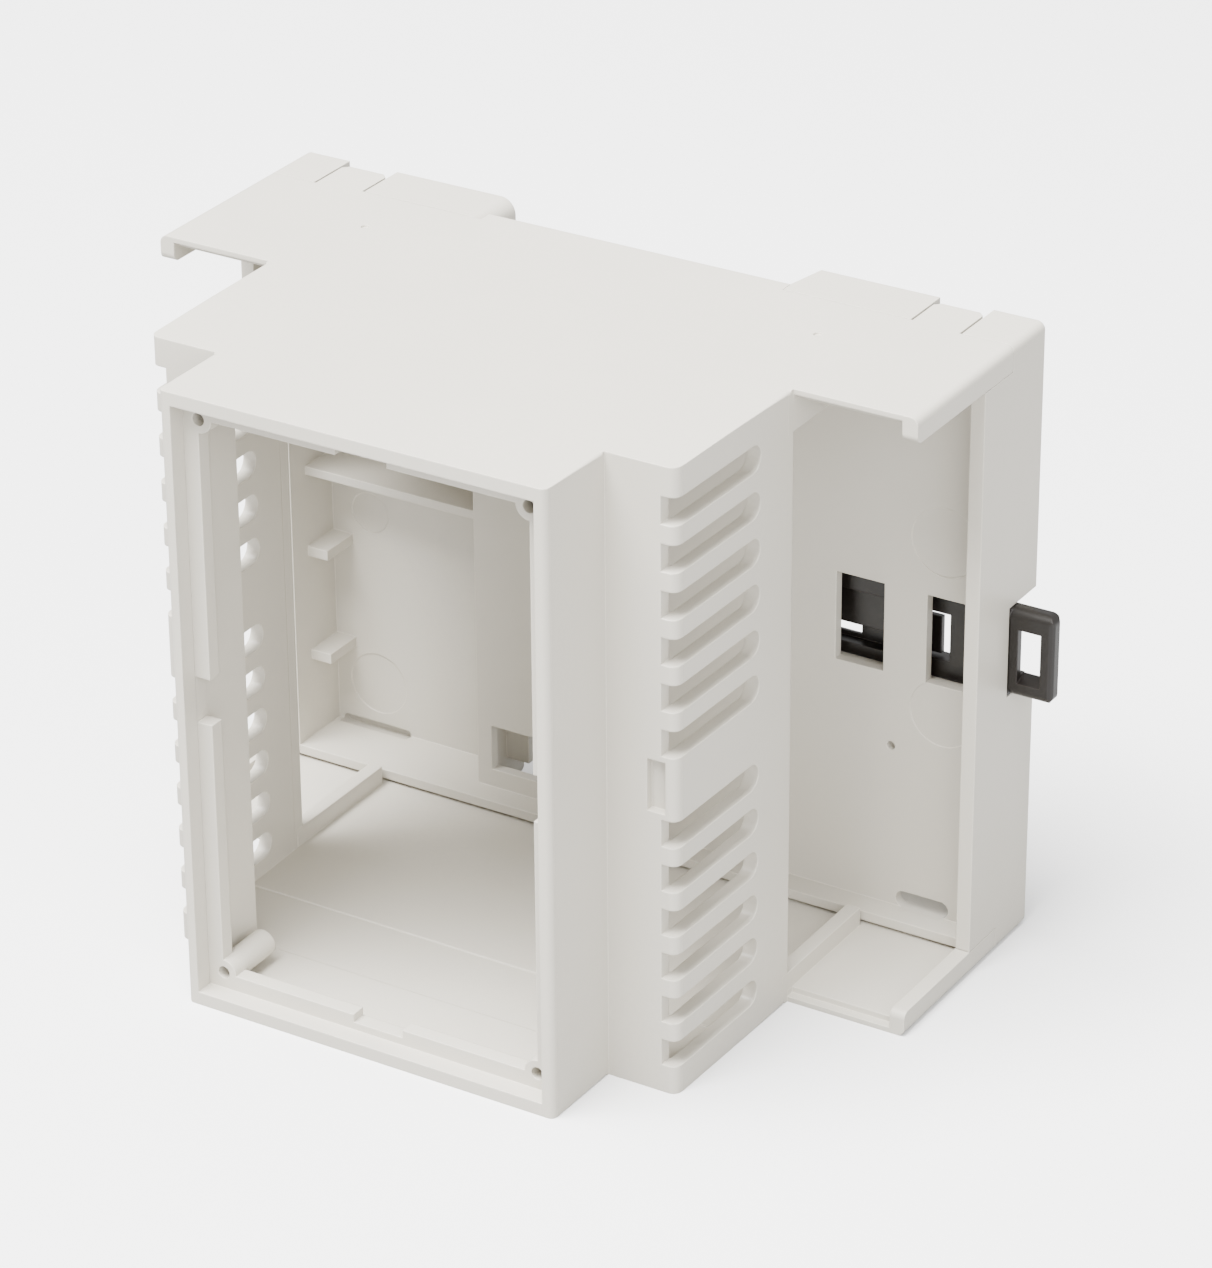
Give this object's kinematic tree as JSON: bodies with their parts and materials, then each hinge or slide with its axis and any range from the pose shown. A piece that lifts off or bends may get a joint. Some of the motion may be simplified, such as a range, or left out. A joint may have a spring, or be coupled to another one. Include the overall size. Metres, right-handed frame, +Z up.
{
  "type": "din rail enclosure",
  "caption": "Stepped open-fronted plastic enclosure with side vents, a separate rear base and a sliding black clip that locks it to a mounting rail.",
  "frame": {"origin": "middle of the flat end face the enclosure stands on", "axes": "+X across the rail towards the clip's handle, +Y from the open front back to the rail, +Z up along the rail"},
  "size_m": [0.095, 0.0586, 0.07],
  "materials": {
    "housing_plastic": "fine matte texture with a soft sheen",
    "base_plastic": "fine matte texture with a soft sheen",
    "clip_plastic": "satin black"
  },
  "bodies": {
    "enclosure": {"housing": "housing_plastic", "base": "base_plastic"},
    "clip": {"rail_clip": "clip_plastic"}
  },
  "joints": [
    {"name": "clip_slide", "type": "slide", "parent": "enclosure", "child": "clip", "axis": [1, 0, 0], "range_m": [0, 0.003], "stiffness_N_per_m": 2500, "springref_m": -0.001}
  ]
}
